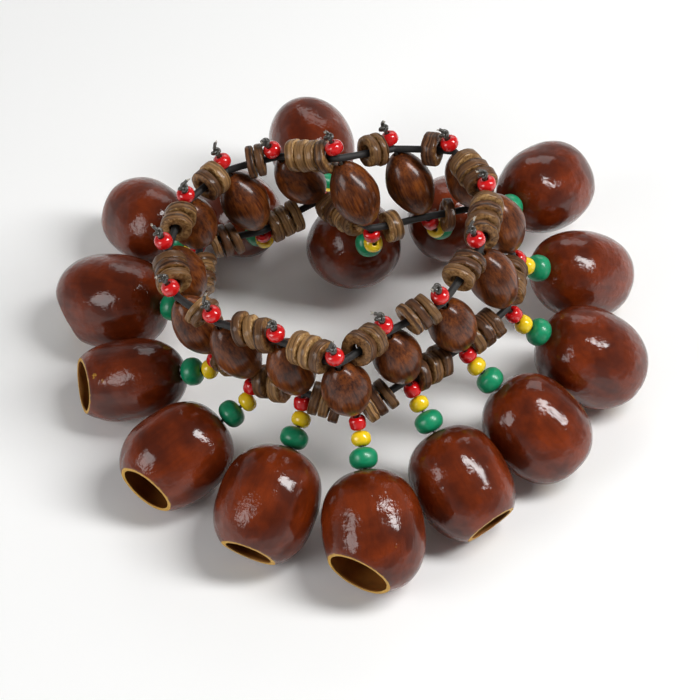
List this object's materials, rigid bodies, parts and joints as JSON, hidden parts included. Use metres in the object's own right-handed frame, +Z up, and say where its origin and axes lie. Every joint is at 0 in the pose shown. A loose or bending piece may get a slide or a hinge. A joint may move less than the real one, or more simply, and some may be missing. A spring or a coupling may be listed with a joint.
{
  "type": "shaker bracelet",
  "caption": "Shaker bracelet: hollow nut shells, cut open at one end, swing on beaded cords from an elastic band of coconut discs and barrel beads, and rattle when shaken.",
  "frame": {"origin": "on the table, under the middle of the outline of the nuts", "axes": "+Z up through the wrist opening, -Y towards the front that the picture shows"},
  "size_m": [0.1781, 0.1738, 0.0782],
  "materials": {
    "elastic": "knitted cover over rubber",
    "coconut_disc": "raw, tumbled",
    "red_bead": "gloss",
    "waxed_cord": "waxed",
    "barrel_wood": "satin lacquer",
    "bead_string": "gloss paint",
    "nut_shell": "gloss lacquer"
  },
  "bodies": {
    "band": {"upper_elastic": "elastic", "lower_elastic": "elastic", "upper_discs": "coconut_disc", "lower_discs": "coconut_disc", "top_red_beads": "red_bead", "lower_red_beads": "red_bead", "strand_cords": "waxed_cord"},
    "barrel_01": {"barrel_bead_01": "barrel_wood"},
    "pendant_01": {"bead_string_01": "bead_string"},
    "nut_01": {"nut_shell_01": "nut_shell"},
    "barrel_02": {"barrel_bead_02": "barrel_wood"},
    "pendant_02": {"bead_string_02": "bead_string"},
    "nut_02": {"nut_shell_02": "nut_shell"},
    "barrel_03": {"barrel_bead_03": "barrel_wood"},
    "pendant_03": {"bead_string_03": "bead_string"},
    "nut_03": {"nut_shell_03": "nut_shell"},
    "barrel_04": {"barrel_bead_04": "barrel_wood"},
    "pendant_04": {"bead_string_04": "bead_string"},
    "nut_04": {"nut_shell_04": "nut_shell"},
    "barrel_05": {"barrel_bead_05": "barrel_wood"},
    "pendant_05": {"bead_string_05": "bead_string"},
    "nut_05": {"nut_shell_05": "nut_shell"},
    "barrel_06": {"barrel_bead_06": "barrel_wood"},
    "pendant_06": {"bead_string_06": "bead_string"},
    "nut_06": {"nut_shell_06": "nut_shell"},
    "barrel_07": {"barrel_bead_07": "barrel_wood"},
    "pendant_07": {"bead_string_07": "bead_string"},
    "nut_07": {"nut_shell_07": "nut_shell"},
    "barrel_08": {"barrel_bead_08": "barrel_wood"},
    "pendant_08": {"bead_string_08": "bead_string"},
    "nut_08": {"nut_shell_08": "nut_shell"},
    "barrel_09": {"barrel_bead_09": "barrel_wood"},
    "pendant_09": {"bead_string_09": "bead_string"},
    "nut_09": {"nut_shell_09": "nut_shell"},
    "barrel_10": {"barrel_bead_10": "barrel_wood"},
    "pendant_10": {"bead_string_10": "bead_string"},
    "nut_10": {"nut_shell_10": "nut_shell"},
    "barrel_11": {"barrel_bead_11": "barrel_wood"},
    "pendant_11": {"bead_string_11": "bead_string"},
    "nut_11": {"nut_shell_11": "nut_shell"},
    "barrel_12": {"barrel_bead_12": "barrel_wood"},
    "pendant_12": {"bead_string_12": "bead_string"},
    "nut_12": {"nut_shell_12": "nut_shell"},
    "barrel_13": {"barrel_bead_13": "barrel_wood"},
    "pendant_13": {"bead_string_13": "bead_string"},
    "nut_13": {"nut_shell_13": "nut_shell"},
    "barrel_14": {"barrel_bead_14": "barrel_wood"},
    "pendant_14": {"bead_string_14": "bead_string"},
    "nut_14": {"nut_shell_14": "nut_shell"},
    "barrel_15": {"barrel_bead_15": "barrel_wood"},
    "pendant_15": {"bead_string_15": "bead_string"},
    "nut_15": {"nut_shell_15": "nut_shell"}
  },
  "joints": [
    {"name": "barrel_spin_01", "type": "hinge", "parent": "band", "child": "barrel_01", "pos_m": [-0.0015, -0.04285, 0.04818], "axis": [-0.2, -0.1, 0.9747], "continuous": true},
    {"name": "swing_01", "type": "hinge", "parent": "band", "child": "pendant_01", "pos_m": [0.00268, -0.04566, 0.02861], "axis": [-0.9903, -0.1392, 0], "range_deg": [0, 25]},
    {"name": "swivel_01", "type": "hinge", "parent": "pendant_01", "child": "nut_01", "pos_m": [0.00383, -0.05387, 0.0244], "axis": [0.1242, -0.8834, -0.452], "continuous": true},
    {"name": "barrel_spin_02", "type": "hinge", "parent": "band", "child": "barrel_02", "pos_m": [0.01291, -0.03219, 0.04922], "axis": [-0.25, -0.1, 0.9631], "continuous": true},
    {"name": "swing_02", "type": "hinge", "parent": "band", "child": "pendant_02", "pos_m": [0.01956, -0.03387, 0.0299], "axis": [-0.829, -0.5592, 0], "range_deg": [-20, 30]},
    {"name": "swivel_02", "type": "hinge", "parent": "pendant_02", "child": "nut_02", "pos_m": [0.02396, -0.04039, 0.02494], "axis": [0.4731, -0.7014, -0.5331], "continuous": true},
    {"name": "barrel_spin_03", "type": "hinge", "parent": "band", "child": "barrel_03", "pos_m": [0.0289, -0.02133, 0.0504], "axis": [-0.25, -0.15, 0.9566], "continuous": true},
    {"name": "swing_03", "type": "hinge", "parent": "band", "child": "pendant_03", "pos_m": [0.03647, -0.02079, 0.0312], "axis": [-0.5299, -0.848, 0], "range_deg": [0, 35]},
    {"name": "swivel_03", "type": "hinge", "parent": "pendant_03", "child": "nut_03", "pos_m": [0.04291, -0.02482, 0.02584], "axis": [0.6925, -0.4327, -0.5771], "continuous": true},
    {"name": "barrel_spin_04", "type": "hinge", "parent": "band", "child": "barrel_04", "pos_m": [0.04127, -0.00427, 0.05116], "axis": [-0.35, 0.1, 0.9314], "continuous": true},
    {"name": "swing_04", "type": "hinge", "parent": "band", "child": "pendant_04", "pos_m": [0.05082, -0.00591, 0.03265], "axis": [0.0174, -0.9998, 0], "range_deg": [-5, 35]},
    {"name": "swivel_04", "type": "hinge", "parent": "pendant_04", "child": "nut_04", "pos_m": [0.05827, -0.00578, 0.02709], "axis": [0.8013, 0.014, -0.5981], "continuous": true},
    {"name": "barrel_spin_05", "type": "hinge", "parent": "band", "child": "barrel_05", "pos_m": [0.04425, 0.01705, 0.05156], "axis": [-0.3, 0.1, 0.9487], "continuous": true},
    {"name": "swing_05", "type": "hinge", "parent": "band", "child": "pendant_05", "pos_m": [0.05256, 0.01724, 0.03255], "axis": [0.515, -0.8572, 0], "range_deg": [-20, 35]},
    {"name": "swivel_05", "type": "hinge", "parent": "pendant_05", "child": "nut_05", "pos_m": [0.05894, 0.02108, 0.02698], "axis": [0.6865, 0.4125, -0.5988], "continuous": true},
    {"name": "barrel_spin_06", "type": "hinge", "parent": "band", "child": "barrel_06", "pos_m": [0.03548, 0.0361, 0.05055], "axis": [-0.4, 0.05, 0.9152], "continuous": true},
    {"name": "swing_06", "type": "hinge", "parent": "band", "child": "pendant_06", "pos_m": [0.04539, 0.03885, 0.0329], "axis": [0.7771, -0.6293, 0], "range_deg": [0, 30]},
    {"name": "swivel_06", "type": "hinge", "parent": "pendant_06", "child": "nut_06", "pos_m": [0.05089, 0.04564, 0.02974], "axis": [0.5918, 0.7308, -0.3401], "continuous": true},
    {"name": "barrel_spin_07", "type": "hinge", "parent": "band", "child": "barrel_07", "pos_m": [0.01762, 0.03472, 0.05053], "axis": [-0.4, 0.3, 0.866], "continuous": true},
    {"name": "swing_07", "type": "hinge", "parent": "band", "child": "pendant_07", "pos_m": [0.02584, 0.03325, 0.03206], "axis": [0.9563, -0.2924, 0], "range_deg": [-15, 0]},
    {"name": "swivel_07", "type": "hinge", "parent": "pendant_07", "child": "nut_07", "pos_m": [0.02796, 0.04019, 0.02624], "axis": [0.228, 0.7457, -0.626], "continuous": true},
    {"name": "barrel_spin_08", "type": "hinge", "parent": "band", "child": "barrel_08", "pos_m": [0.00095, 0.02595, 0.05522], "axis": [-0.38, 0.32, 0.8679], "continuous": true},
    {"name": "swing_08", "type": "hinge", "parent": "band", "child": "pendant_08", "pos_m": [0.00653, 0.02366, 0.03598], "axis": [0.9455, 0.3256, 0], "range_deg": [-30, 0]},
    {"name": "swivel_08", "type": "hinge", "parent": "pendant_08", "child": "nut_08", "pos_m": [0.00446, 0.02968, 0.0292], "axis": [-0.2226, 0.6464, -0.7298], "continuous": true},
    {"name": "barrel_spin_09", "type": "hinge", "parent": "band", "child": "barrel_09", "pos_m": [-0.01559, 0.03915, 0.04794], "axis": [-0.5, -0.1, 0.8602], "continuous": true},
    {"name": "swing_09", "type": "hinge", "parent": "band", "child": "pendant_09", "pos_m": [-0.00761, 0.04674, 0.03164], "axis": [0.9781, 0.2079, 0], "range_deg": [0, 15]},
    {"name": "swivel_09", "type": "hinge", "parent": "pendant_09", "child": "nut_09", "pos_m": [-0.00954, 0.05581, 0.03089], "axis": [-0.2072, 0.975, -0.0807], "continuous": true},
    {"name": "barrel_spin_10", "type": "hinge", "parent": "band", "child": "barrel_10", "pos_m": [-0.0322, 0.03243, 0.04508], "axis": [-0.4, 0.15, 0.9042], "continuous": true},
    {"name": "swing_10", "type": "hinge", "parent": "band", "child": "pendant_10", "pos_m": [-0.02692, 0.03444, 0.02611], "axis": [0.9205, 0.3907, 0], "range_deg": [-20, 15]},
    {"name": "swivel_10", "type": "hinge", "parent": "pendant_10", "child": "nut_10", "pos_m": [-0.03019, 0.04213, 0.02204], "axis": [-0.3514, 0.8278, -0.4373], "continuous": true},
    {"name": "barrel_spin_11", "type": "hinge", "parent": "band", "child": "barrel_11", "pos_m": [-0.04725, 0.02396, 0.04448], "axis": [-0.1, -0.2, 0.9747], "continuous": true},
    {"name": "swing_11", "type": "hinge", "parent": "band", "child": "pendant_11", "pos_m": [-0.04864, 0.03125, 0.02567], "axis": [0.766, 0.6428, 0], "range_deg": [-15, 25]},
    {"name": "swivel_11", "type": "hinge", "parent": "pendant_11", "child": "nut_11", "pos_m": [-0.05432, 0.03802, 0.02278], "axis": [-0.611, 0.7282, -0.3106], "continuous": true},
    {"name": "barrel_spin_12", "type": "hinge", "parent": "band", "child": "barrel_12", "pos_m": [-0.04975, 0.00369, 0.04421], "axis": [-0.3, -0.05, 0.9526], "continuous": true},
    {"name": "swing_12", "type": "hinge", "parent": "band", "child": "pendant_12", "pos_m": [-0.04928, 0.00697, 0.02481], "axis": [0.4226, 0.9063, 0], "range_deg": [-10, 15]},
    {"name": "swivel_12", "type": "hinge", "parent": "pendant_12", "child": "nut_12", "pos_m": [-0.05726, 0.01069, 0.02182], "axis": [-0.8582, 0.4002, -0.3216], "continuous": true},
    {"name": "barrel_spin_13", "type": "hinge", "parent": "band", "child": "barrel_13", "pos_m": [-0.04457, -0.01575, 0.04395], "axis": [-0.45, 0.1, 0.8874], "continuous": true},
    {"name": "swing_13", "type": "hinge", "parent": "band", "child": "pendant_13", "pos_m": [-0.04187, -0.01662, 0.02477], "axis": [0.1736, 0.9848, 0], "range_deg": [-20, 10]},
    {"name": "swivel_13", "type": "hinge", "parent": "pendant_13", "child": "nut_13", "pos_m": [-0.05032, -0.01513, 0.0212], "axis": [-0.9091, 0.1603, -0.3844], "continuous": true},
    {"name": "barrel_spin_14", "type": "hinge", "parent": "band", "child": "barrel_14", "pos_m": [-0.03314, -0.02621, 0.04515], "axis": [-0.4, 0.05, 0.9152], "continuous": true},
    {"name": "swing_14", "type": "hinge", "parent": "band", "child": "pendant_14", "pos_m": [-0.03045, -0.02982, 0.02598], "axis": [-0.5, 0.866, 0], "range_deg": [-5, 15]},
    {"name": "swivel_14", "type": "hinge", "parent": "pendant_14", "child": "nut_14", "pos_m": [-0.03783, -0.03408, 0.02225], "axis": [-0.7935, -0.4581, -0.4005], "continuous": true},
    {"name": "barrel_spin_15", "type": "hinge", "parent": "band", "child": "barrel_15", "pos_m": [-0.01716, -0.03402, 0.0469], "axis": [-0.25, -0.05, 0.967], "continuous": true},
    {"name": "swing_15", "type": "hinge", "parent": "band", "child": "pendant_15", "pos_m": [-0.0146, -0.03762, 0.02735], "axis": [-0.9205, 0.3907, 0], "range_deg": [-20, 20]},
    {"name": "swivel_15", "type": "hinge", "parent": "pendant_15", "child": "nut_15", "pos_m": [-0.0179, -0.04538, 0.02342], "axis": [-0.3543, -0.8346, -0.4218], "continuous": true}
  ]
}
